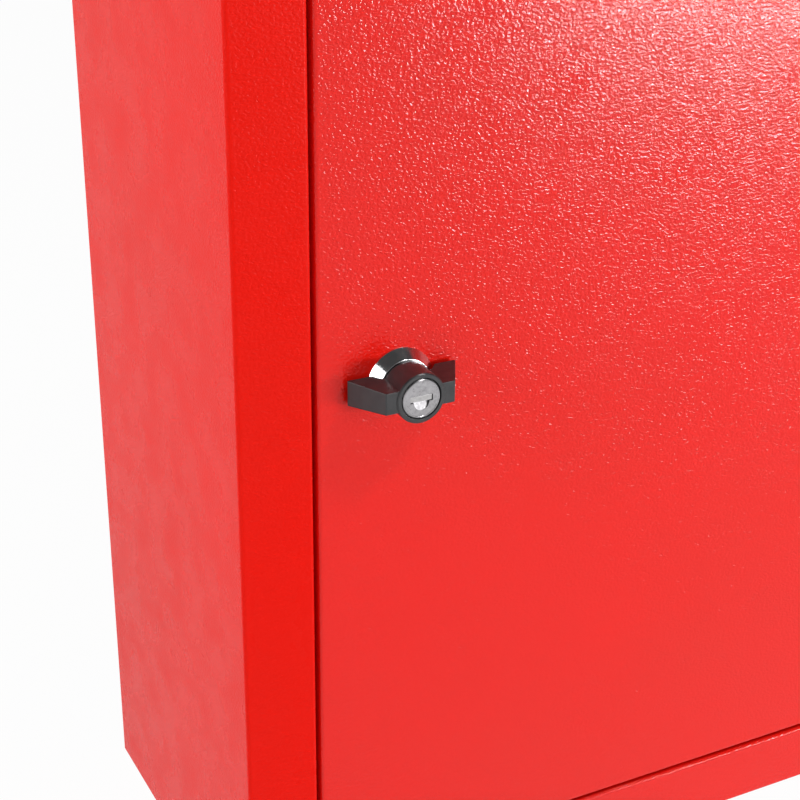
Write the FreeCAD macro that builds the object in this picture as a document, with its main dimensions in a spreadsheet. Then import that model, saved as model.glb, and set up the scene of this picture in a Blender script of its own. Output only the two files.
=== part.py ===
import FreeCAD, Part
import math
import os
from types import SimpleNamespace

import Sketcher

# Wall-hung sheet-steel tool cabinet with one flush door and a wing knob lock.
# Millimetres. X runs to the right, Y into the cabinet, Z up.
# The origin is the middle of the four wall fixing holes, on the rear face.

SIZES = {
    # outside of the cabinet
    "width": 600,
    "height": 600,
    "depth": 200,
    # folded shell
    "shell_sheet": 1.2,
    "back_sheet": 1.2,
    "bend_radius": 0.8,
    "stile_width": 35,
    "rail_height": 35,
    "rear_flange": 20,
    "lip_width": 12,
    "back_inset": 3,
    "wall_hole_radius": 4,
    "wall_hole_inset": 50,
    # blind rivets
    "rivet_radius": 2,
    "rivet_head_radius": 3.5,
    "rivet_head_height": 1.2,
    "back_rivet_inset": 100,
    "panel_rivet_inset": 60,
    # door
    "door_gap": 2,
    "door_sheet": 1.2,
    "door_depth": 20,
    "door_lip": 12,
    "stop_space": 3.8,
    # perforated sheet inside the door
    "panel_sheet": 1.2,
    "panel_inset": 2,
    "perforation": 10,
    "perforation_pitch": 38,
    "perforation_margin": 20,
    "lock_opening_radius": 15,
    # door pivots
    "hinge_inset": 9,
    "hinge_setback": 7,
    "pin_radius": 2.5,
    "pin_head_radius": 5,
    "pin_head_height": 2,
    "pin_reach": 9,
    "bush_radius": 3.5,
    "bush_flange_radius": 5.5,
    "bush_length": 5.5,
    "hinge_play": 0.4,
    "running_clearance": 0.05,
    "hinge_plate_sheet": 3,
    "hinge_plate_length": 24,
    "bracket_sheet": 2,
    "bracket_leg": 40,
    "bracket_side_clearance": 1,
    # rubber door stops
    "bumper_radius": 4,
    "bumper_stem_radius": 2,
    "bumper_barb_radius": 2.8,
    "bumper_barb_height": 2.5,
    "bumper_inset": 85,
    "bumper_play": 0.3,
    # slotted uprights
    "upright_sheet": 1.5,
    "upright_depth": 8,
    "upright_width": 25,
    "upright_inset": 30,
    "upright_end_space": 30,
    "slot_pitch": 25,
    "slot_height": 4,
    "slot_width": 14,
    "slot_end_margin": 15,
    # shelves and their clips
    "shelf_sheet": 1.2,
    "shelf_setback": 50,
    "shelf_rear_space": 8,
    "shelf_flange": 25,
    "shelf_return": 10,
    "shelf_play": 1,
    "clip_sheet": 2,
    "clip_width": 12,
    "clip_ledge": 14,
    "clip_leg": 12,
    "clip_hook": 6,
    # lock body in the door
    "lock_inset": 39.5,
    "lock_flange_radius": 16,
    "lock_flange_top_radius": 12.3,
    "lock_flange_rise": 5.8,
    "lock_flange_rim": 0.6,
    "lock_flange_rounding": 0.35,
    "sleeve_radius": 11,
    "sleeve_length": 14,
    "lock_washer_radius": 15,
    "lock_washer_sheet": 1,
    "lock_nut_flats": 27,
    "lock_nut_height": 5,
    # wing knob
    "knob_rise": 20.8,
    "hub_radius": 11.6,
    "hub_chamfer": 0.5,
    "hub_mouth_radius": 0.25,
    "knob_clearance": 0.3,
    "wing_span": 53,
    "wing_shoulder": 33.2,
    "wing_setback": 0.7,
    "wing_lift": 1.9,
    "wing_front_height": 10.2,
    "wing_rear_height": 11.9,
    "wing_corner_radius": 0.8,
    "wing_tip_radius": 0.4,
    "wing_upper_radius": 0.3,
    "wing_lower_radius": 0.6,
    # lock cylinder
    "face_radius": 9,
    "face_gap": 0.5,
    "face_proud": 0.2,
    "face_dish": 0.15,
    "face_rim": 0.9,
    "face_rim_slope": 0.15,
    "face_chamfer": 0.4,
    "cap_height": 2.4,
    "barrel_radius": 6.9,
    "barrel_end_space": 8,
    "end_clearance": 0.3,
    "key_slot_width": 10.8,
    "key_slot_height": 3,
    "key_slot_floor": 10,
    "half_moon_radius": 3.7,
    "half_moon_depth": 1.7,
    "shutter_sheet": 0.6,
    "shutter_setback": 0.5,
    "shutter_clearance": 0.22,
    "trunnion_radius": 0.25,
    "trunnion_length": 0.7,
    # spindle and cam
    "spindle_radius": 6,
    "drive_square": 8,
    "cam_sheet": 3,
    "cam_clearance": 0.8,
    "cam_width": 18,
    "cam_reach": 45,
    "cam_corner": 4,
    "stub_radius": 3,
    "stub_spare": 1,
    "cam_washer_radius": 7,
    "cam_washer_sheet": 1.2,
    "cam_nut_flats": 10,
    "cam_nut_height": 5,
}


# The shelves hang this many slots above and below the middle of the uprights
SHELF_SLOTS = 4


class Size:
    """A length that carries its number and the expression that gives it in the sheet."""

    def __init__(self, number, text):
        self.number = float(number)
        self.text = text

    def __add__(self, other):
        other = as_size(other)
        return Size(self.number + other.number, f"({self.text} + {other.text})")

    def __sub__(self, other):
        other = as_size(other)
        return Size(self.number - other.number, f"({self.text} - {other.text})")

    def __mul__(self, other):
        other = as_size(other)
        return Size(self.number * other.number, f"({self.text} * {other.text})")

    def __truediv__(self, other):
        other = as_size(other)
        return Size(self.number / other.number, f"({self.text} / {other.text})")

    def __neg__(self):
        return Size(-self.number, f"(0 - {self.text})")

    def __rsub__(self, other):
        return as_size(other) - self

    __radd__ = __add__
    __rmul__ = __mul__


def as_size(value):
    if isinstance(value, Size):
        return value
    return Size(value, f"({value:.9f})")


doc = FreeCAD.newDocument("tool_cabinet")
sheet = doc.addObject("Spreadsheet::Sheet", "sizes")
for row, (alias, number) in enumerate(SIZES.items(), start=1):
    sheet.set(f"A{row}", alias)
    sheet.set(f"B{row}", str(number))
    sheet.setAlias(f"B{row}", alias)
doc.recompute()
s = SimpleNamespace(**{alias: Size(number, f"sizes.{alias}") for alias, number in SIZES.items()})

# Which way each origin plane's normal runs along its third axis
NORMALS = {"XY": 1, "XZ": -1, "YZ": 1}

nodes = []


def bind(item, prop, size):
    item.setExpression(prop, as_size(size).text)


def new_body(label, x=0, y=0, z=0):
    """A sub-part with its own origin at the given place."""
    body = doc.addObject("PartDesign::Body", label)
    body.Label = label
    body.AllowCompound = True
    body.Placement = FreeCAD.Placement()
    for axis, place in zip("xyz", (x, y, z)):
        bind(body, f"Placement.Base.{axis}", place)
    nodes.append(body)
    return body


def rectangle(low_a, low_b, high_a, high_b):
    return [(low_a, low_b), (high_a, low_b), (high_a, high_b), (low_a, high_b)]


def hexagon(flats):
    """Corners of a hexagon, from its width across flats."""
    reach = flats / math.sqrt(3)
    turns = [math.radians(60 * step) for step in range(6)]
    return [(reach * math.cos(turn), reach * math.sin(turn)) for turn in turns]


def place_point(drawing, geometry, point, a, b):
    """Hold one point of a sketch at a place given from the sketch's origin."""
    for kind, size in (("DistanceX", a), ("DistanceY", b)):
        size = as_size(size)
        index = drawing.addConstraint(Sketcher.Constraint(kind, -1, 1, geometry, point, size.number))
        bind(drawing, f"Constraints[{index}]", size)


def draw_polygon(drawing, points):
    start = drawing.GeometryCount
    corners = [FreeCAD.Vector(as_size(a).number, as_size(b).number, 0) for a, b in points]
    count = len(corners)
    for step in range(count):
        drawing.addGeometry(Part.LineSegment(corners[step], corners[(step + 1) % count]), False)
    for step in range(count):
        joined = start + (step + 1) % count
        drawing.addConstraint(Sketcher.Constraint("Coincident", start + step, 2, joined, 1))
    for step, (a, b) in enumerate(points):
        place_point(drawing, start + step, 1, a, b)


def draw_circle(drawing, a, b, radius):
    centre = FreeCAD.Vector(as_size(a).number, as_size(b).number, 0)
    circle = Part.Circle(centre, FreeCAD.Vector(0, 0, 1), as_size(radius).number)
    geometry = drawing.addGeometry(circle, False)
    place_point(drawing, geometry, 3, a, b)
    index = drawing.addConstraint(Sketcher.Constraint("Radius", geometry, as_size(radius).number))
    bind(drawing, f"Constraints[{index}]", radius)


def new_sketch(body, plane, level, polygons=(), circles=()):
    """A sketch parallel to one of the body's own planes, at a level along the third axis."""
    drawing = body.newObject("Sketcher::SketchObject", f"{body.Name}_sketch")
    for item in body.Origin.OriginFeatures:
        if item.Role == f"{plane}_Plane":
            drawing.AttachmentSupport = (item, [""])
    drawing.MapMode = "FlatFace"
    offset = as_size(level) * NORMALS[plane]
    drawing.AttachmentOffset = FreeCAD.Placement(FreeCAD.Vector(0, 0, offset.number), FreeCAD.Rotation())
    bind(drawing, "AttachmentOffset.Base.z", offset)
    for points in polygons:
        draw_polygon(drawing, points)
    for a, b, radius in circles:
        draw_circle(drawing, a, b, radius)
    return drawing


def pad(body, plane, low, high, polygons=(), circles=()):
    """Solid material between two levels."""
    level = high if plane == "XZ" else low
    feature = body.newObject("PartDesign::Pad", f"{body.Name}_pad")
    feature.Profile = new_sketch(body, plane, level, polygons, circles)
    bind(feature, "Length", as_size(high) - low)
    body.Tip = feature
    doc.recompute()
    return feature


def cut(body, plane, low, high, polygons=(), circles=()):
    """Material taken away between two levels."""
    before = body.Shape.Volume
    level = low if plane == "XZ" else high
    feature = body.newObject("PartDesign::Pocket", f"{body.Name}_pocket")
    feature.Profile = new_sketch(body, plane, level, polygons, circles)
    bind(feature, "Length", as_size(high) - low)
    body.Tip = feature
    doc.recompute()
    if not feature.Shape.Volume < before:
        raise ValueError(f"a pocket in {body.Label} takes nothing away")
    return feature


def turned(body, plane, points):
    """Solid turned about the body's own Y axis (plane XY) or Z axis (plane XZ)."""
    feature = body.newObject("PartDesign::Revolution", f"{body.Name}_turned")
    drawing = new_sketch(body, plane, 0, [points])
    feature.Profile = drawing
    feature.ReferenceAxis = (drawing, ["V_Axis"])
    feature.Angle = 360
    body.Tip = feature
    doc.recompute()
    return feature


def scooped(body, level, points):
    """Half a turn of material taken away under a level, about a line along the Y axis."""
    before = body.Shape.Volume
    feature = body.newObject("PartDesign::Groove", f"{body.Name}_scoop")
    drawing = new_sketch(body, "XY", level, [points])
    feature.Profile = drawing
    feature.ReferenceAxis = (drawing, ["V_Axis"])
    feature.Angle = 180
    body.Tip = feature
    doc.recompute()
    if not feature.Shape.Volume < before:
        raise ValueError(f"a scoop in {body.Label} takes nothing away")
    return feature


def rounded(body, chosen, radius):
    """Round the edges of the body for which chosen(edge) is true."""
    base = body.Tip
    names = [f"Edge{number}" for number, edge in enumerate(base.Shape.Edges, start=1) if chosen(edge)]
    if not names:
        raise ValueError(f"no edge to round on {body.Label}")
    feature = body.newObject("PartDesign::Fillet", f"{body.Name}_rounding")
    feature.Base = (base, names)
    bind(feature, "Radius", radius)
    body.Tip = feature
    doc.recompute()
    return feature


def is_straight(edge):
    if len(edge.Vertexes) != 2:
        return False
    first, last = (vertex.Point for vertex in edge.Vertexes)
    return abs(first.distanceToPoint(last) - edge.Length) < 1e-6


def ring_edge(radius, level):
    """Chooses the circle of a radius about the body's own Y axis, at a level along it."""
    width, level = 2 * as_size(radius).number, as_size(level).number

    def chosen(edge):
        box = edge.BoundBox
        return box.YLength < 1e-4 and abs(box.YMin - level) < 1e-4 and abs(box.XLength - width) < 0.01

    return chosen


def upright_edge(plane, corners):
    """Chooses straight edges square to the plane that pass through one of the corners."""
    first, second, along = {"XY": (0, 1, 2), "XZ": (0, 2, 1), "YZ": (1, 2, 0)}[plane]
    places = [(as_size(a).number, as_size(b).number) for a, b in corners]

    def chosen(edge):
        if not is_straight(edge):
            return False
        run = edge.Vertexes[1].Point - edge.Vertexes[0].Point
        if abs(abs(run[along]) - edge.Length) > 1e-6:
            return False
        middle = edge.CenterOfMass
        return any(math.hypot(middle[first] - a, middle[second] - b) < 1e-4 for a, b in places)

    return chosen


def folded(body, plane, path, side, thickness, low, high):
    """A strip of sheet bent square along a path; the metal lies left (1) or right (-1) of it."""
    numbers = [(as_size(a).number, as_size(b).number) for a, b in path]
    directions = []
    for (a, b), (next_a, next_b) in zip(numbers, numbers[1:]):
        length = math.hypot(next_a - a, next_b - b)
        directions.append(((next_a - a) / length, (next_b - b) / length))
    normals = [(round(-b * side), round(a * side)) for a, b in directions]
    inner = []
    for step, (a, b) in enumerate(path):
        touching = normals[max(step - 1, 0):step + 1]
        shift_a = sum(normal[0] for normal in touching)
        shift_b = sum(normal[1] for normal in touching)
        inner.append((as_size(a) + thickness * shift_a, as_size(b) + thickness * shift_b))
    pad(body, plane, low, high, [list(path) + inner[::-1]])
    small, large = [], []
    for step in range(1, len(path) - 1):
        (a, b), (next_a, next_b) = directions[step - 1], directions[step]
        turns_to_metal = (a * next_b - b * next_a) * side > 0
        large.append(path[step] if turns_to_metal else inner[step])
        small.append(inner[step] if turns_to_metal else path[step])
    rounded(body, upright_edge(plane, small), s.bend_radius)
    rounded(body, upright_edge(plane, large), s.bend_radius + thickness)


def pattern_along(body, feature, axis, pitch, count):
    """Repeat a feature along one of the body's own axes."""
    repeat = body.newObject("PartDesign::LinearPattern", f"{body.Name}_row")
    repeat.Originals = [feature]
    for item in body.Origin.OriginFeatures:
        if item.Role == f"{axis}_Axis":
            repeat.Direction = (item, [""])
    repeat.Mode = "Spacing"
    bind(repeat, "Offset", pitch)
    repeat.Occurrences = count
    body.Tip = repeat
    doc.recompute()
    return repeat


# Planes and edges that several pieces share
front = -s.depth
half_width = s.width / 2
half_height = s.height / 2
rear_seat = -s.back_sheet
opening_x = half_width - s.stile_width
opening_z = half_height - s.rail_height
door_x = opening_x - s.door_gap
door_z = opening_z - s.door_gap
door_back = front + s.door_depth
panel_back = door_back + s.panel_sheet
stop_front = panel_back + s.stop_space
stop_back = stop_front + s.shell_sheet
hinge_x = door_x - s.hinge_inset
hinge_y = front + s.hinge_setback
lock_x = s.lock_inset - door_x
spare = 1

# Places of the blind rivets that hold the back panel
flange_x = half_width - s.rear_flange / 2
flange_z = half_height - s.rear_flange / 2
rivet_x = half_width - s.back_rivet_inset
rivet_z = half_height - s.back_rivet_inset
side_rivets = [(side * flange_x, level) for side in (-1, 1) for level in (-rivet_z, 0, rivet_z)]
end_rivets = [(place, end * flange_z) for end in (-1, 1) for place in (-rivet_x, 0, rivet_x)]

# Places of the rubber stops on the lip at the lock side
bumper_x = s.lip_width / 2 - opening_x
bumper_z = opening_z - s.bumper_inset


def make_side_panel(label, side):
    """Side sheet with its rear flange, front stile, return and stop lip."""
    body = new_body(label)
    path = [
        (side * (half_width - s.rear_flange), rear_seat),
        (side * half_width, rear_seat),
        (side * half_width, front),
        (side * opening_x, front),
        (side * opening_x, stop_front),
        (side * (opening_x - s.lip_width), stop_front),
    ]
    folded(body, "XY", path, -side, s.shell_sheet, -half_height, half_height)
    inner_x = side * (half_width - s.shell_sheet)
    past_lip = side * (opening_x - s.lip_width - spare)
    # the top and bottom sheets lie over these trimmed ends
    notch = rectangle(inner_x, front + s.shell_sheet, past_lip, spare)
    cut(body, "XY", half_height - s.shell_sheet, half_height + spare, [notch])
    cut(body, "XY", -half_height - spare, s.shell_sheet - half_height, [notch])
    # the lip stops where the rails begin
    lip = rectangle(side * opening_x, front - spare, past_lip, stop_back + spare)
    cut(body, "XY", opening_z, half_height + spare, [lip])
    cut(body, "XY", -half_height - spare, -opening_z, [lip])
    holes = [(a, b, s.rivet_radius) for a, b in side_rivets if as_size(a).number * side > 0]
    cut(body, "XZ", rear_seat - s.shell_sheet - spare, rear_seat + spare, circles=holes)
    if side < 0:
        stems = [(bumper_x, end * bumper_z, s.bumper_stem_radius) for end in (-1, 1)]
        cut(body, "XZ", stop_front - spare, stop_back + spare, circles=stems)


def make_rail_panel(label, end):
    """Top or bottom sheet with its rear flange, front rail, return and stop lip."""
    body = new_body(label)
    path = [
        (rear_seat, end * (half_height - s.rear_flange)),
        (rear_seat, end * half_height),
        (front, end * half_height),
        (front, end * opening_z),
        (stop_front, end * opening_z),
        (stop_front, end * (opening_z - s.lip_width)),
    ]
    reach = half_width - s.shell_sheet
    folded(body, "YZ", path, end, s.shell_sheet, -reach, reach)
    under_sheet, fronts, lips = [], [], []
    for side in (-1, 1):
        outside = side * (half_width + spare)
        under_sheet.append(rectangle(side * (half_width - s.rear_flange), front / 2, outside, spare))
        stile_back = stop_back + s.shell_sheet
        under_sheet.append(rectangle(side * opening_x, front + s.shell_sheet, outside, stile_back))
        fronts.append(rectangle(side * opening_x, front - spare, outside, front + s.shell_sheet))
        past_lip = side * (opening_x - s.lip_width)
        lip_front = stop_front - s.bend_radius - spare
        lips.append(rectangle(past_lip, lip_front, side * opening_x, stop_back + spare))

    def end_cut(reach_out, polygons):
        low, high = (as_size(0), reach_out) if end > 0 else (-reach_out, as_size(0))
        cut(body, "XY", low, high, polygons)

    end_cut(half_height - s.shell_sheet, under_sheet)
    end_cut(half_height + spare, fronts)
    end_cut(opening_z, lips)
    holes = [(a, b, s.rivet_radius) for a, b in end_rivets if as_size(b).number * end > 0]
    cut(body, "XZ", rear_seat - s.shell_sheet - spare, rear_seat + spare, circles=holes)
    inside, outside = opening_z - spare, opening_z + s.shell_sheet + spare
    low, high = (inside, outside) if end > 0 else (-outside, -inside)
    cut(body, "XY", low, high, circles=[(hinge_x, hinge_y, s.pin_radius)])


def make_back_panel():
    body = new_body("back_panel")
    across, up = half_width - s.back_inset, half_height - s.back_inset
    holes = [(a, b, s.rivet_radius) for a, b in side_rivets + end_rivets]
    wall_x, wall_z = half_width - s.wall_hole_inset, half_height - s.wall_hole_inset
    for side in (-1, 1):
        for end in (-1, 1):
            holes.append((side * wall_x, end * wall_z, s.wall_hole_radius))
    pad(body, "XZ", rear_seat, 0, [rectangle(-across, -up, across, up)], holes)


def make_back_rivets():
    body = new_body("back_rivets")
    places = side_rivets + end_rivets
    seat = rear_seat - s.shell_sheet
    heads = [(a, b, s.rivet_head_radius) for a, b in places]
    shanks = [(a, b, s.rivet_radius) for a, b in places]
    pad(body, "XZ", seat - s.rivet_head_height, seat, circles=heads)
    pad(body, "XZ", seat, 0, circles=shanks)


for panel_label, panel_side in (("side_panel_left", -1), ("side_panel_right", 1)):
    make_side_panel(panel_label, panel_side)
for panel_label, panel_end in (("top_panel", 1), ("bottom_panel", -1)):
    make_rail_panel(panel_label, panel_end)
make_back_panel()
make_back_rivets()


# Slotted uprights, two on each side sheet
shelf_front = front + s.shelf_setback
shelf_rear = rear_seat - s.shelf_rear_space
upright_places = {
    "front": shelf_front + s.upright_inset,
    "rear": shelf_rear - s.upright_inset,
}
web_face = half_width - s.shell_sheet - s.upright_depth
upright_half = half_height - s.upright_end_space
slots_each_way = int((upright_half.number - s.slot_end_margin.number) / s.slot_pitch.number)


def make_upright(label, side, middle_y):
    body = new_body(label)
    near, far = middle_y - s.upright_width / 2, middle_y + s.upright_width / 2
    outer = side * (half_width - s.shell_sheet)
    inner = side * web_face
    path = [(outer, near), (inner, near), (inner, far), (outer, far)]
    folded(body, "XY", path, -side, s.upright_sheet, -upright_half, upright_half)
    lowest = -slots_each_way * s.slot_pitch
    slot = rectangle(
        middle_y - s.slot_width / 2, lowest - s.slot_height / 2,
        middle_y + s.slot_width / 2, lowest + s.slot_height / 2,
    )
    low, high = (-web_face - s.upright_sheet - spare, spare - web_face)
    if side > 0:
        low, high = -high, -low
    first = cut(body, "YZ", low, high, [slot])
    pattern_along(body, first, "Z", s.slot_pitch, 2 * slots_each_way + 1)


for hand, hand_side in (("left", -1), ("right", 1)):
    for row, row_middle in upright_places.items():
        make_upright(f"upright_{hand}_{row}", hand_side, row_middle)

# Shelves on hooked clips
shelf_levels = {
    "shelf_upper": SHELF_SLOTS * s.slot_pitch - s.slot_height / 2,
    "shelf_lower": -SHELF_SLOTS * s.slot_pitch - s.slot_height / 2,
}


def make_shelf(label, slot_floor):
    body = new_body(label)
    upper = slot_floor + s.clip_sheet + s.shelf_sheet
    lower = upper - s.shelf_flange
    path = [
        (shelf_front + s.shelf_return, lower),
        (shelf_front, lower),
        (shelf_front, upper),
        (shelf_rear, upper),
        (shelf_rear, lower),
    ]
    reach = web_face - s.shelf_play
    folded(body, "YZ", path, -1, s.shelf_sheet, -reach, reach)


def clip_outline(side, floor):
    """Side view of a clip: ledge, tongue through the slot, hook behind it and leg in front."""
    face, behind = web_face, web_face + s.upright_sheet
    roof = floor + s.clip_sheet
    points = [
        (face - s.clip_ledge, floor), (face - s.clip_ledge, roof),
        (behind + s.clip_sheet, roof), (behind + s.clip_sheet, floor - s.clip_hook),
        (behind, floor - s.clip_hook), (behind, floor),
        (face, floor), (face, floor - s.clip_leg),
        (face - s.clip_sheet, floor - s.clip_leg), (face - s.clip_sheet, floor),
    ]
    return [(side * a, b) for a, b in points]


def make_shelf_clips():
    body = new_body("shelf_clips")
    outlines = [clip_outline(side, floor) for side in (-1, 1) for floor in shelf_levels.values()]
    for middle_y in upright_places.values():
        pad(body, "XZ", middle_y - s.clip_width / 2, middle_y + s.clip_width / 2, outlines)


for shelf_label, shelf_floor in shelf_levels.items():
    make_shelf(shelf_label, shelf_floor)
make_shelf_clips()


def make_bumpers():
    """Rubber stops pushed through the lip at the lock side."""
    body = new_body("door_bumpers")
    places = [(bumper_x, end * bumper_z) for end in (-1, 1)]
    heads = [(a, b, s.bumper_radius) for a, b in places]
    stems = [(a, b, s.bumper_stem_radius) for a, b in places]
    barbs = [(a, b, s.bumper_barb_radius) for a, b in places]
    pad(body, "XZ", panel_back + s.bumper_play, stop_front, circles=heads)
    pad(body, "XZ", stop_front, stop_back, circles=stems)
    pad(body, "XZ", stop_back, stop_back + s.bumper_barb_height, circles=barbs)


make_bumpers()


# Door pivots: a pin in each rail, a nylon bush in each edge of the door
def make_hinge_plate(label, end):
    body = new_body(label)
    near = front + s.shell_sheet + s.bend_radius
    plate = rectangle(hinge_x - s.hinge_plate_length, near, opening_x, stop_front)
    inside = opening_z + s.shell_sheet
    outside = inside + s.hinge_plate_sheet
    low, high = (inside, outside) if end > 0 else (-outside, -inside)
    pad(body, "XY", low, high, [plate], [(hinge_x, hinge_y, s.pin_radius)])


def make_hinge_pin(label, end):
    body = new_body(label, hinge_x, hinge_y, end * opening_z)
    tip = s.door_gap + s.pin_reach
    seat = s.shell_sheet + s.hinge_plate_sheet
    roof = seat + s.pin_head_height
    outline = [
        (0, -end * tip), (s.pin_radius, -end * tip), (s.pin_radius, end * seat),
        (s.pin_head_radius, end * seat), (s.pin_head_radius, end * roof), (0, end * roof),
    ]
    turned(body, "XZ", outline)


def make_hinge_bush(label, end, flange_height):
    body = new_body(label, hinge_x, hinge_y, end * door_z)
    bore = s.pin_radius + s.running_clearance
    foot = -end * s.bush_length
    roof = end * flange_height
    outline = [
        (bore, foot), (s.bush_radius, foot), (s.bush_radius, 0),
        (s.bush_flange_radius, 0), (s.bush_flange_radius, roof), (bore, roof),
    ]
    turned(body, "XZ", outline)


def make_door_bracket(label, end):
    """Angle plate inside the door's corner that carries the bush."""
    body = new_body(label)
    corner_x, corner_z = door_x - s.door_sheet, door_z - s.door_sheet
    path = [
        (corner_x, end * (corner_z - s.bracket_leg)),
        (corner_x, end * corner_z),
        (corner_x - s.bracket_leg, end * corner_z),
    ]
    near = front + s.door_sheet + s.bracket_side_clearance
    far = door_back - s.door_sheet - s.bracket_side_clearance
    folded(body, "XZ", path, end, s.bracket_sheet, near, far)
    inside, outside = corner_z - s.bracket_sheet - spare, corner_z + spare
    low, high = (inside, outside) if end > 0 else (-outside, -inside)
    cut(body, "XY", low, high, circles=[(hinge_x, hinge_y, s.bush_radius)])


for place, place_end in (("upper", 1), ("lower", -1)):
    make_hinge_plate(f"hinge_plate_{place}", place_end)
    make_hinge_pin(f"hinge_pin_{place}", place_end)
    make_door_bracket(f"door_bracket_{place}", place_end)
# the lower bush carries the door on its flange, the upper one has play
make_hinge_bush("hinge_bush_upper", 1, s.door_gap - s.hinge_play)
make_hinge_bush("hinge_bush_lower", -1, s.door_gap)

# Places of the rivets that hold the perforated sheet to the door's lips
lip_x, lip_z = door_x - s.door_lip / 2, door_z - s.door_lip / 2
far_x, far_z = door_x - s.panel_rivet_inset, door_z - s.panel_rivet_inset
door_rivets = [(side * lip_x, level) for side in (-1, 1) for level in (-far_z, 0, far_z)]
door_rivets += [(place, end * lip_z) for end in (-1, 1) for place in (-far_x, 0, far_x)]


def make_door_skin():
    """Door front with four folded edges and lips, its corners welded and ground."""
    body = new_body("door_skin")
    pad(body, "XZ", front, door_back, [rectangle(-door_x, -door_z, door_x, door_z)])
    rounded(body, lambda edge: True, s.bend_radius + s.door_sheet)
    inner_x, inner_z = door_x - s.door_sheet, door_z - s.door_sheet
    inner_front, inner_back = front + s.door_sheet, door_back - s.door_sheet
    cut(body, "XZ", inner_front, inner_back, [rectangle(-inner_x, -inner_z, inner_x, inner_z)])

    def inside_edge(edge):
        if not is_straight(edge):
            return False
        box = edge.BoundBox
        return (
            abs(box.XMin) < inner_x.number + 1e-4 and abs(box.XMax) < inner_x.number + 1e-4
            and abs(box.ZMin) < inner_z.number + 1e-4 and abs(box.ZMax) < inner_z.number + 1e-4
            and box.YMin > inner_front.number - 1e-4 and box.YMax < inner_back.number + 1e-4
        )

    rounded(body, inside_edge, s.bend_radius)
    mouth_x, mouth_z = door_x - s.door_lip, door_z - s.door_lip
    mouth = rectangle(-mouth_x, -mouth_z, mouth_x, mouth_z)
    cut(body, "XZ", inner_back - s.bend_radius, door_back + spare, [mouth])
    cut(body, "XZ", front - spare, inner_front + spare, circles=[(lock_x, 0, s.sleeve_radius)])
    pivots = [(hinge_x, hinge_y, s.bush_radius)]
    cut(body, "XY", inner_z - spare, door_z + spare, circles=pivots)
    cut(body, "XY", -door_z - spare, spare - inner_z, circles=pivots)
    holes = [(a, b, s.rivet_radius) for a, b in door_rivets]
    cut(body, "XZ", inner_back - spare, door_back + spare, circles=holes)


def make_door_inner_panel():
    """Perforated sheet that closes the back of the door."""
    body = new_body("door_inner_panel")
    across, up = door_x - s.panel_inset, door_z - s.panel_inset
    holes = [(a, b, s.rivet_radius) for a, b in door_rivets]
    holes.append((lock_x, 0, s.lock_opening_radius))
    pad(body, "XZ", door_back, panel_back, [rectangle(-across, -up, across, up)], holes)

    def steps_each_way(half):
        room = half.number - s.perforation_margin.number - s.perforation.number / 2
        return int(room / s.perforation_pitch.number)

    columns, rows = steps_each_way(across), steps_each_way(up)
    half_hole = s.perforation / 2
    first_x = -columns * s.perforation_pitch
    squares = []
    for step in range(-rows, rows + 1):
        middle = step * s.perforation_pitch
        corners = (first_x - half_hole, middle - half_hole, first_x + half_hole, middle + half_hole)
        squares.append(rectangle(*corners))
    column = cut(body, "XZ", door_back - spare, panel_back + spare, squares)
    pattern_along(body, column, "X", s.perforation_pitch, 2 * columns + 1)


def make_door_rivets():
    body = new_body("door_rivets")
    inner_back = door_back - s.door_sheet
    heads = [(a, b, s.rivet_head_radius) for a, b in door_rivets]
    shanks = [(a, b, s.rivet_radius) for a, b in door_rivets]
    pad(body, "XZ", panel_back, panel_back + s.rivet_head_height, circles=heads)
    pad(body, "XZ", inner_back, panel_back, circles=shanks)


make_door_skin()
make_door_inner_panel()
make_door_rivets()

# Lock: each piece has its origin where the knob's axis meets the door's front face
cam_front = stop_back + s.cam_clearance - front
cam_back = cam_front + s.cam_sheet
hub_back = -s.lock_flange_rise - s.knob_clearance
hub_front = -s.knob_rise
cap_front = hub_front - s.face_proud
cap_back = cap_front + s.cap_height
spindle_front = -s.barrel_end_space
barrel_back = spindle_front - s.end_clearance


def lock_piece(label):
    return new_body(label, lock_x, front, 0)


def make_lock_body():
    """Bevelled flange and the threaded sleeve that goes through the door."""
    body = lock_piece("lock_body")
    bore = s.spindle_radius + s.running_clearance
    outline = [
        (bore, -s.lock_flange_rise),
        (s.lock_flange_top_radius, -s.lock_flange_rise),
        (s.lock_flange_radius, -s.lock_flange_rim),
        (s.lock_flange_radius, 0),
        (s.sleeve_radius, 0),
        (s.sleeve_radius, s.sleeve_length),
        (bore, s.sleeve_length),
    ]
    turned(body, "XY", outline)
    for radius, level in ((s.lock_flange_top_radius, -s.lock_flange_rise),
                          (s.lock_flange_radius, -s.lock_flange_rim)):
        rounded(body, ring_edge(radius, level), s.lock_flange_rounding)


def make_lock_fixing():
    """Washer and hexagon nut that clamp the lock body to the door."""
    washer_back = s.door_sheet + s.lock_washer_sheet
    sleeve = (0, 0, s.sleeve_radius)
    washer = lock_piece("lock_washer")
    pad(washer, "XZ", s.door_sheet, washer_back, circles=[(0, 0, s.lock_washer_radius), sleeve])
    nut = lock_piece("lock_nut")
    pad(nut, "XZ", washer_back, washer_back + s.lock_nut_height, [hexagon(s.lock_nut_flats)], [sleeve])


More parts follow.
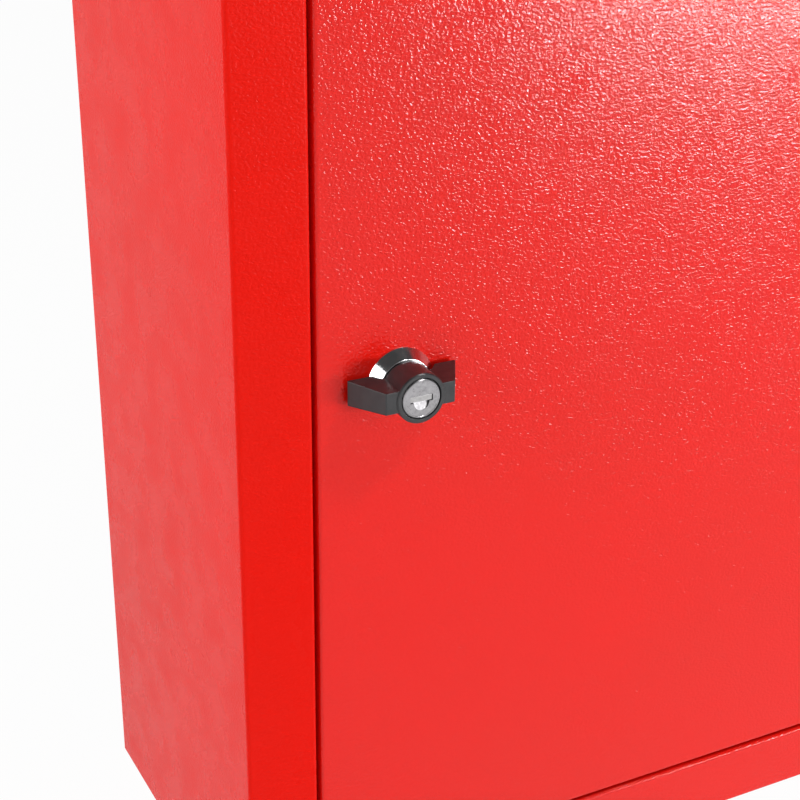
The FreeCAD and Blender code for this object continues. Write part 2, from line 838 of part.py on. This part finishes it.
def make_wing_knob():
    """Black knob: round hub, two swept wings and the pocket for the lock cylinder."""
    body = lock_piece("wing_knob")
    front_y = hub_front + s.wing_setback
    rear_y = -s.wing_lift
    shoulder, tip = s.wing_shoulder / 2, s.wing_span / 2
    clear_low = s.lock_flange_radius + s.knob_clearance
    clear_high = s.lock_flange_top_radius + s.knob_clearance
    half = [
        (shoulder, front_y), (tip, rear_y), (clear_low, rear_y), (clear_high, hub_back),
    ]
    outline = half + [(-a, b) for a, b in half[::-1]]
    half_rear, half_front = s.wing_rear_height / 2, s.wing_front_height / 2
    pad(body, "XY", -half_rear, half_rear, [outline])
    # draft: the wings are lower at the front than at the rear
    wedges = []
    for end in (-1, 1):
        wedges.append([
            (rear_y, end * half_rear), (front_y, end * half_front),
            (front_y - spare, end * half_front), (front_y - spare, end * (half_rear + spare)),
            (rear_y, end * (half_rear + spare)),
        ])
    cut(body, "YZ", -tip - spare, tip + spare, wedges)

    def upright_at(a, b):
        """Chooses the two outer corner edges at the same distance left and right."""
        def chosen(edge):
            middle = edge.CenterOfMass
            return abs(abs(middle.x) - a.number) < 0.05 and abs(middle.y - b.number) < 0.05
        return chosen

    def outer_rim(end):
        """Chooses the outer rim of the upper (1) or lower (-1) face."""
        def chosen(edge):
            middle = edge.CenterOfMass
            over_flange = abs(middle.x) < clear_low.number and middle.y > hub_back.number - 0.1
            drawn_height = edge.BoundBox.ZLength
            beside_face = middle.z * end > half_front.number / 2
            return beside_face and drawn_height < 1 and middle.y < rear_y.number - 0.01 and not over_flange
        return chosen

    rounded(body, upright_at(shoulder, front_y), s.wing_corner_radius)
    rounded(body, upright_at(tip, rear_y), s.wing_tip_radius)
    rounded(body, outer_rim(1), s.wing_upper_radius)
    rounded(body, outer_rim(-1), s.wing_lower_radius)
    chamfer_y = hub_front + s.hub_chamfer
    hub = [
        (0, hub_back), (s.hub_radius, hub_back), (s.hub_radius, chamfer_y),
        (s.hub_radius - s.hub_chamfer, hub_front), (0, hub_front),
    ]
    turned(body, "XY", hub)
    pocket_floor = cap_back + s.end_clearance
    mouth = s.face_radius + s.face_gap
    cut(body, "XZ", hub_front - spare, pocket_floor, circles=[(0, 0, mouth)])
    rounded(body, ring_edge(mouth, hub_front), s.hub_mouth_radius)
    bore = s.barrel_radius + s.running_clearance
    cut(body, "XZ", pocket_floor - spare, spindle_front, circles=[(0, 0, bore)])
    cut(body, "XZ", spindle_front - spare, hub_back + spare, circles=[(0, 0, s.spindle_radius)])


# The shutter hangs on two trunnions just behind the mouth of the key slot
face_floor = cap_front + s.face_dish
shutter_y = face_floor + s.shutter_setback + s.shutter_sheet / 2
shutter_z = s.key_slot_height / 2 - s.shutter_clearance - s.shutter_sheet / 2


def make_cylinder_plug():
    """Lock cylinder: face with a raised rim, key slot and half moon scoop, and its barrel."""
    body = lock_piece("cylinder_plug")
    outline = [
        (0, face_floor),
        (s.face_radius - s.face_rim, face_floor),
        (s.face_radius - s.face_rim + s.face_rim_slope, cap_front),
        (s.face_radius - s.face_chamfer, cap_front),
        (s.face_radius, cap_front + s.face_chamfer),
        (s.face_radius, cap_back),
        (s.barrel_radius, cap_back),
        (s.barrel_radius, barrel_back),
        (0, barrel_back),
    ]
    turned(body, "XY", outline)
    half_slot, half_slot_z = s.key_slot_width / 2, s.key_slot_height / 2
    slot = rectangle(-half_slot, -half_slot_z, half_slot, half_slot_z)
    cut(body, "XZ", cap_front - spare, -s.key_slot_floor, [slot])
    # the half moon's floor slopes down from its foot to the slot
    moon_deep, moon_foot = face_floor + s.half_moon_depth, -half_slot_z - s.half_moon_radius
    half_moon = [
        (0, cap_front - spare), (s.half_moon_radius, cap_front - spare),
        (s.half_moon_radius, moon_deep), (0, moon_deep),
    ]
    scooped(body, -half_slot_z, half_moon)
    ramp = [(face_floor + s.face_dish, moon_foot), (moon_deep, -half_slot_z), (moon_deep, moon_foot)]
    pad(body, "YZ", -s.half_moon_radius, s.half_moon_radius, [ramp])
    reach = half_slot + s.trunnion_length + s.running_clearance
    seat = (shutter_y, shutter_z, s.trunnion_radius + s.running_clearance)
    cut(body, "YZ", -reach, reach, circles=[seat])


def make_key_shutter():
    """Sprung dust shutter in the key slot, with a trunnion at each end."""
    body = lock_piece("key_shutter")
    reach = s.key_slot_width / 2 - s.shutter_clearance
    half_sheet = s.shutter_sheet / 2
    foot = s.shutter_clearance - s.key_slot_height / 2
    leaf = rectangle(shutter_y - half_sheet, foot, shutter_y + half_sheet, shutter_z)
    pad(body, "YZ", -reach, reach, [leaf])
    pad(body, "YZ", -reach, reach, circles=[(shutter_y, shutter_z, half_sheet)])
    far = s.key_slot_width / 2 + s.trunnion_length
    pad(body, "YZ", -far, far, circles=[(shutter_y, shutter_z, s.trunnion_radius)])


def make_spindle():
    """Round spindle with a square seat for the cam and a threaded stub."""
    body = lock_piece("knob_spindle")
    outline = [
        (0, spindle_front), (s.spindle_radius, spindle_front),
        (s.spindle_radius, cam_front), (0, cam_front),
    ]
    turned(body, "XY", outline)
    half = s.drive_square / 2
    pad(body, "XZ", cam_front, cam_back, [rectangle(-half, -half, half, half)])
    stub_end = cam_back + s.cam_washer_sheet + s.cam_nut_height + s.stub_spare
    pad(body, "XZ", cam_back, stub_end, circles=[(0, 0, s.stub_radius)])


def make_cam():
    """Flat cam that turns behind the lip of the stile; it points up while unlocked."""
    body = lock_piece("lock_cam")
    half, half_square = s.cam_width / 2, s.drive_square / 2
    plate = rectangle(-half, -half, half, s.cam_reach)
    square = rectangle(-half_square, -half_square, half_square, half_square)
    pad(body, "XZ", cam_front, cam_back, [plate, square])
    corners = [(-half, -half), (half, -half), (half, s.cam_reach), (-half, s.cam_reach)]
    rounded(body, upright_edge("XZ", corners), s.cam_corner)


def make_cam_fixing():
    washer_back = cam_back + s.cam_washer_sheet
    stub = (0, 0, s.stub_radius)
    washer = lock_piece("cam_washer")
    pad(washer, "XZ", cam_back, washer_back, circles=[(0, 0, s.cam_washer_radius), stub])
    nut = lock_piece("cam_nut")
    pad(nut, "XZ", washer_back, washer_back + s.cam_nut_height, [hexagon(s.cam_nut_flats)], [stub])


make_lock_body()
make_lock_fixing()
make_wing_knob()
make_cylinder_plug()
make_key_shutter()
make_spindle()
make_cam()
make_cam_fixing()

# Check every object before anything is written
doc.recompute()
for item in doc.Objects:
    if "Invalid" in item.State or "Error" in item.State:
        raise RuntimeError(f"{item.Name} failed: {item.State}")
for node in nodes:
    if node.Shape.isNull() or not node.Shape.isValid():
        raise RuntimeError(f"{node.Label} has no valid shape")

os.makedirs("parts", exist_ok=True)
for node in nodes:
    node.Shape.exportStep(f"parts/{node.Label}.step")
    print(f"{node.Label}: {len(node.Shape.Solids)} solid(s), {node.Shape.Volume:.1f} mm3")
print(f"{len(nodes)} nodes")
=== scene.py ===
import math

import bmesh
import bpy
from mathutils import Matrix, Vector

# A wall hung tool cabinet: folded sheet steel with a textured red coat, one inset door
# hinged on its right, and a wing knob lock with a key cylinder near the door's left edge.
# Metres, X to the right, Y into the cabinet, Z up.

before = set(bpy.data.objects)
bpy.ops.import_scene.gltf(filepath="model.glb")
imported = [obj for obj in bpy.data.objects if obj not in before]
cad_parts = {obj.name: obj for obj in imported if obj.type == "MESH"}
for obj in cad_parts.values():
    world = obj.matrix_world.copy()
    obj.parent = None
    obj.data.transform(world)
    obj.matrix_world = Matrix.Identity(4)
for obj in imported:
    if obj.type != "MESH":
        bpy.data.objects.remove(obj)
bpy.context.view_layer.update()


# The camera, at the photograph's place

CAMERA_PLACE = Vector((-0.5352, -0.8037, 0.3056))
CAMERA_AZIMUTH = math.radians(-27.33)
CAMERA_ELEVATION = math.radians(24.81)
CAMERA_ROLL = math.radians(0.60)
PICTURE_WIDTH = 800
FOCAL_PIXELS = 1706.9
AXIS_ABOVE_MIDDLE = 1.5
SENSOR_WIDTH_MM = 36
NEAREST_SEEN = 0.01
FARTHEST_SEEN = 50


def place_camera():
    forward = Vector((
        -math.sin(CAMERA_AZIMUTH) * math.cos(CAMERA_ELEVATION),
        math.cos(CAMERA_AZIMUTH) * math.cos(CAMERA_ELEVATION),
        -math.sin(CAMERA_ELEVATION),
    ))
    level_right = forward.cross(Vector((0, 0, 1))).normalized()
    level_up = level_right.cross(forward)
    right = math.cos(CAMERA_ROLL) * level_right + math.sin(CAMERA_ROLL) * level_up
    up = right.cross(forward)
    data = bpy.data.cameras.new("camera")
    data.sensor_width = SENSOR_WIDTH_MM
    data.lens = data.sensor_width * FOCAL_PIXELS / PICTURE_WIDTH
    data.shift_y = -AXIS_ABOVE_MIDDLE / PICTURE_WIDTH
    data.clip_start = NEAREST_SEEN
    data.clip_end = FARTHEST_SEEN
    camera = bpy.data.objects.new("camera", data)
    turn = Matrix((right, up, -forward)).transposed()
    camera.matrix_world = Matrix.Translation(CAMERA_PLACE) @ turn.to_4x4()
    bpy.context.scene.collection.objects.link(camera)
    bpy.context.scene.camera = camera


# Node trees

class Finish:
    """A material and the few steps that its surface detail is put together from."""

    def __init__(self, name, colour, roughness, metallic=0.0):
        self.material = bpy.data.materials.new(name)
        self.material.use_nodes = True
        self.tree = self.material.node_tree
        self.shader = self.tree.nodes["Principled BSDF"]
        self.shader.inputs["Base Color"].default_value = (*colour, 1)
        self.shader.inputs["Roughness"].default_value = roughness
        self.shader.inputs["Metallic"].default_value = metallic
        self.place = self.tree.nodes.new("ShaderNodeTexCoord").outputs["Object"]
        self.normal = None

    def join(self, source, target):
        self.tree.links.new(source, target)

    def centred(self, x=0.0, y=0.0, z=0.0, stretch=(1, 1, 1)):
        """Object coordinates measured from a point, and stretched."""
        mapping = self.tree.nodes.new("ShaderNodeMapping")
        mapping.vector_type = "POINT"
        mapping.inputs["Location"].default_value = [
            -c * s for c, s in zip((x, y, z), stretch)
        ]
        mapping.inputs["Scale"].default_value = stretch
        self.join(self.place, mapping.inputs["Vector"])
        return mapping.outputs["Vector"]

    def noise(self, scale, detail=2.0, roughness=0.5, distortion=0.0, place=None):
        node = self.tree.nodes.new("ShaderNodeTexNoise")
        node.inputs["Scale"].default_value = scale
        node.inputs["Detail"].default_value = detail
        node.inputs["Roughness"].default_value = roughness
        node.inputs["Distortion"].default_value = distortion
        self.join(place or self.place, node.inputs["Vector"])
        return node.outputs["Fac"]

    def cells(self, scale):
        node = self.tree.nodes.new("ShaderNodeTexVoronoi")
        node.inputs["Scale"].default_value = scale
        self.join(self.place, node.inputs["Vector"])
        return node.outputs["Color"]

    def spread(self, value, low, high, to_low=0.0, to_high=1.0, smooth=False):
        node = self.tree.nodes.new("ShaderNodeMapRange")
        node.interpolation_type = "SMOOTHSTEP" if smooth else "LINEAR"
        for name, number in (("From Min", low), ("From Max", high), ("To Min", to_low),
                             ("To Max", to_high)):
            node.inputs[name].default_value = number
        self.join(value, node.inputs["Value"])
        return node.outputs["Result"]

    def relief(self, height, depth):
        """Adds height as a bump, depth metres from its lowest value to its highest."""
        node = self.tree.nodes.new("ShaderNodeBump")
        node.inputs["Distance"].default_value = depth
        node.inputs["Strength"].default_value = 1
        self.join(height, node.inputs["Height"])
        if self.normal:
            self.join(self.normal, node.inputs["Normal"])
        self.normal = node.outputs["Normal"]
        self.join(self.normal, self.shader.inputs["Normal"])

    def gloss(self, value, low, high):
        self.join(self.spread(value, 0.3, 0.7, low, high), self.shader.inputs["Roughness"])

    def shades(self, value, one, other, low=0.3, high=0.7):
        """The base colour goes from one to other as value goes from low to high."""
        mix = self.tree.nodes.new("ShaderNodeMix")
        mix.data_type = "RGBA"
        mix.inputs["A"].default_value = (*one, 1)
        mix.inputs["B"].default_value = (*other, 1)
        self.join(self.spread(value, low, high), mix.inputs["Factor"])
        self.join(mix.outputs["Result"], self.shader.inputs["Base Color"])


WORMS_PER_METRE = (620, 900, 900)
WORM_HEIGHT = 0.00008
WAVE_HEIGHT = 0.00025


def red_coat(name, shine, smoothest, roughest):
    """Leather textured powder coat: low raised worms, longer across than up, on faint waves."""
    coat = Finish(name, (0.80, 0.012, 0.007), roughest)
    coat.shader.inputs["Specular IOR Level"].default_value = shine
    coat.shades(coat.noise(7, 3), (0.82, 0.009, 0.004), (0.77, 0.012, 0.006))
    coat.gloss(coat.noise(40, 4), smoothest, roughest)
    lying = coat.centred(stretch=WORMS_PER_METRE)
    worms = coat.spread(coat.noise(1, 0.5, 0.45, 0.6, lying), 0.30, 0.70, smooth=True)
    coat.relief(coat.noise(9, 2), WAVE_HEIGHT)
    coat.relief(worms, WORM_HEIGHT)
    return coat


def grey_coat():
    """Fine textured grey powder coat on the shelves and the door's lining."""
    coat = Finish("grey_powder_coat", (0.52, 0.53, 0.52), 0.42)
    coat.shades(coat.noise(14, 4), (0.55, 0.56, 0.55), (0.49, 0.50, 0.49))
    coat.gloss(coat.noise(60, 4), 0.36, 0.48)
    coat.relief(coat.spread(coat.noise(900, 2, 0.5, 0.4), 0.36, 0.64, smooth=True), 0.00006)
    return coat


def zinc_plate():
    """Bright zinc plating: faint crystal patches and a drawn grain."""
    plate = Finish("zinc_steel", (0.70, 0.71, 0.72), 0.34, 1.0)
    patches = plate.cells(260)
    plate.shades(plate.noise(90, 5, 0.6), (0.76, 0.77, 0.78), (0.60, 0.61, 0.63))
    plate.gloss(patches, 0.27, 0.42)
    drawn = plate.noise(1.0, 3, place=plate.centred(stretch=(1400, 1400, 60)))
    plate.relief(drawn, 0.000012)
    return plate


def chrome():
    """Polished chrome on the lock's flange and barrel."""
    plate = Finish("bright_chrome", (0.86, 0.87, 0.88), 0.07, 1.0)
    plate.shades(plate.noise(300, 4), (0.90, 0.90, 0.91), (0.80, 0.81, 0.83))
    plate.gloss(plate.noise(420, 5, 0.7), 0.08, 0.17)
    plate.relief(plate.noise(500, 3), 0.000010)
    return plate


def black_moulding():
    """Black nylon with a fine spark eroded texture, rubbed smoother in patches."""
    moulding = Finish("black_plastic", (0.022, 0.022, 0.024), 0.36)
    moulding.shades(moulding.noise(160, 4), (0.018, 0.018, 0.020), (0.030, 0.030, 0.032))
    moulding.gloss(moulding.noise(220, 4, 0.6), 0.28, 0.46)
    moulding.relief(moulding.noise(4200, 3, 0.6), 0.000022)
    return moulding


def cylinder_face():
    """Nickel plated zinc, satin and faintly mottled."""
    face = Finish("cylinder_zinc", (0.46, 0.45, 0.46), 0.30, 1.0)
    face.shades(face.noise(900, 5, 0.65), (0.36, 0.35, 0.36), (0.29, 0.28, 0.29))
    face.gloss(face.noise(700, 4), 0.24, 0.40)
    face.relief(face.noise(2600, 3), 0.000016)
    return face


def shutter_plate():
    """Stamped bright steel with a drawn grain along the slot."""
    plate = Finish("cylinder_steel", (0.52, 0.51, 0.51), 0.34, 1.0)
    plate.shades(plate.noise(800, 4), (0.42, 0.41, 0.41), (0.34, 0.33, 0.33))
    plate.gloss(plate.noise(900, 4), 0.30, 0.42)
    plate.relief(plate.noise(1.0, 3, place=plate.centred(stretch=(300, 4200, 4200))), 0.000005)
    return plate


def rivet_metal():
    """Soft bright aluminium, dulled in patches."""
    metal = Finish("rivet_aluminium", (0.80, 0.81, 0.82), 0.36, 1.0)
    metal.shades(metal.noise(500, 4), (0.84, 0.85, 0.86), (0.68, 0.69, 0.70))
    metal.gloss(metal.noise(800, 4), 0.28, 0.48)
    metal.relief(metal.noise(1800, 3), 0.00002)
    return metal


def white_nylon():
    """Natural nylon, slightly yellow and waxy."""
    nylon = Finish("nylon_white", (0.80, 0.79, 0.74), 0.40)
    nylon.shades(nylon.noise(200, 3), (0.83, 0.82, 0.77), (0.75, 0.74, 0.68))
    nylon.gloss(nylon.noise(400, 4), 0.34, 0.50)
    nylon.shader.inputs["Subsurface Weight"].default_value = 0.15
    nylon.shader.inputs["Subsurface Scale"].default_value = 0.001
    nylon.relief(nylon.noise(1500, 3), 0.00002)
    return nylon


def black_rubber():
    """Matt rubber with a dusty bloom."""
    rubber = Finish("rubber_black", (0.020, 0.020, 0.020), 0.80)
    rubber.shades(rubber.noise(300, 5), (0.016, 0.016, 0.016), (0.050, 0.049, 0.047))
    rubber.gloss(rubber.noise(500, 4), 0.70, 0.92)
    rubber.relief(rubber.noise(2200, 3), 0.00005)
    return rubber


# One paint covers the real cabinet. The side panels and their stiles have a duller version
# of it here, because the white floor that they mirror is paler than what stood beside the
# real cabinet.
DULLER_COAT = "red_powder_coat_sides"
DULLER_NODES = ("side_panel_left", "side_panel_right")


def dress_nodes():
    """Each node takes the finish that its material slot names, and the sides the duller coat."""
    named = {
        node: [place.material.name for place in node.material_slots]
        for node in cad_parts.values()
    }
    for plain in list(bpy.data.materials):
        bpy.data.materials.remove(plain)
    finishes = {
        made.material.name: made.material
        for made in (red_coat("red_powder_coat", 0.29, 0.10, 0.15),
                     red_coat(DULLER_COAT, 0.05, 0.22, 0.34),
                     grey_coat(), zinc_plate(), chrome(), black_moulding(),
                     cylinder_face(), shutter_plate(), rivet_metal(), white_nylon(),
                     black_rubber())
    }
    for node, names in named.items():
        for place, name in zip(node.material_slots, names):
            place.material = finishes[name]
    for side in DULLER_NODES:
        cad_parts[side].material_slots[0].material = finishes[DULLER_COAT]


# Floor and light

FLOOR_LEVEL = -0.3004
FLOOR_RADIUS = 9.0
FLOOR_SIDES = 64
FLOOR_SHOWN_WHITE = 0.97


def lay_floor():
    """A pale disc of paper. What looks at it straight or in a mirror sees it nearly white."""
    mesh = bpy.data.meshes.new("floor")
    disc = bmesh.new()
    bmesh.ops.create_circle(disc, cap_ends=True, segments=FLOOR_SIDES,
                             radius=FLOOR_RADIUS)
    bmesh.ops.translate(disc, verts=disc.verts, vec=(0, 0, FLOOR_LEVEL))
    disc.to_mesh(mesh)
    disc.free()
    floor = bpy.data.objects.new("floor", mesh)
    bpy.context.scene.collection.objects.link(floor)
    paper = Finish("pale_paper", (0.88, 0.88, 0.88), 0.9)
    paper.shades(paper.noise(3, 3), (0.89, 0.89, 0.89), (0.86, 0.86, 0.86))
    path = paper.tree.nodes.new("ShaderNodeLightPath")
    seen = path.outputs["Is Camera Ray"]
    for name in ("Is Glossy Ray", "Is Transmission Ray"):
        either = paper.tree.nodes.new("ShaderNodeMath")
        either.operation = "MAXIMUM"
        paper.join(seen, either.inputs[0])
        paper.join(path.outputs[name], either.inputs[1])
        seen = either.outputs["Value"]
    white = paper.tree.nodes.new("ShaderNodeEmission")
    mix = paper.tree.nodes.new("ShaderNodeMixShader")
    paper.join(paper.spread(seen, 0, 1, 0, FLOOR_SHOWN_WHITE), mix.inputs["Fac"])
    paper.join(paper.shader.outputs["BSDF"], mix.inputs[1])
    paper.join(white.outputs["Emission"], mix.inputs[2])
    paper.join(mix.outputs["Shader"], paper.tree.nodes["Material Output"].inputs["Surface"])
    mesh.materials.append(paper.material)


# Heights are those of the direction looked in, from 0 at the eye line to 1 overhead.
FADE_STARTS = 0.02
FADE_ENDS = 0.42
ROOM_BRIGHTNESS = 0.56
CEILING_BRIGHTNESS = 0.05


def light_room():
    """A pale room up to the eye line under a dim ceiling."""
    world = bpy.data.worlds.new("room")
    world.use_nodes = True
    tree = world.node_tree
    ceiling_fade = tree.nodes.new("ShaderNodeMapRange")
    ceiling_fade.interpolation_type = "SMOOTHSTEP"
    for name, number in (("From Min", FADE_STARTS), ("From Max", FADE_ENDS),
                         ("To Min", ROOM_BRIGHTNESS), ("To Max", CEILING_BRIGHTNESS)):
        ceiling_fade.inputs[name].default_value = number
    height = tree.nodes.new("ShaderNodeSeparateXYZ")
    toward = tree.nodes.new("ShaderNodeTexCoord")
    tree.links.new(toward.outputs["Generated"], height.inputs["Vector"])
    tree.links.new(height.outputs["Z"], ceiling_fade.inputs["Value"])
    tree.links.new(ceiling_fade.outputs["Result"], tree.nodes["Background"].inputs["Strength"])
    tree.nodes["Background"].inputs["Color"].default_value = (1, 1, 1, 1)
    bpy.context.scene.world = world


# Name, place, the point it aims at, width, height, watts. Each is placed for the light that
# it throws on the door or the lock as the photograph shows it.
LAMPS = (
    ("right_softbox", (1.34, -1.90, -0.16), (-0.08, -0.2, 0.08), 0.80, 0.22, 26),
    ("front_softbox", (0.53, -1.73, 0.59), (-0.1, -0.2, 0), 0.5, 0.5, 4.5),
    ("top_softbox", (0.45, -0.86, 1.30), (-0.15, -0.2, 0), 0.16, 0.14, 7),
    ("left_softbox", (-1.80, -0.34, 0.50), (-0.3, -0.1, 0), 0.7, 1.2, 17),
    ("rear_lamp", (-1.36, 0.28, 1.43), (-0.25, -0.2, 0), 0.18, 0.18, 6),
)


def hang_lamp(name, place, aim, wide, high, power):
    """A rectangle of light that the camera doesn't see."""
    data = bpy.data.lights.new(name, "AREA")
    data.shape = "RECTANGLE"
    data.size = wide
    data.size_y = high
    data.energy = power
    lamp = bpy.data.objects.new(name, data)
    lamp.location = place
    lamp.rotation_mode = "QUATERNION"
    lamp.rotation_quaternion = (Vector(aim) - Vector(place)).to_track_quat("-Z", "Y")
    lamp.visible_camera = False
    bpy.context.scene.collection.objects.link(lamp)


place_camera()
dress_nodes()
lay_floor()
light_room()
for lamp in LAMPS:
    hang_lamp(*lamp)

bpy.context.scene.view_settings.view_transform = "Standard"
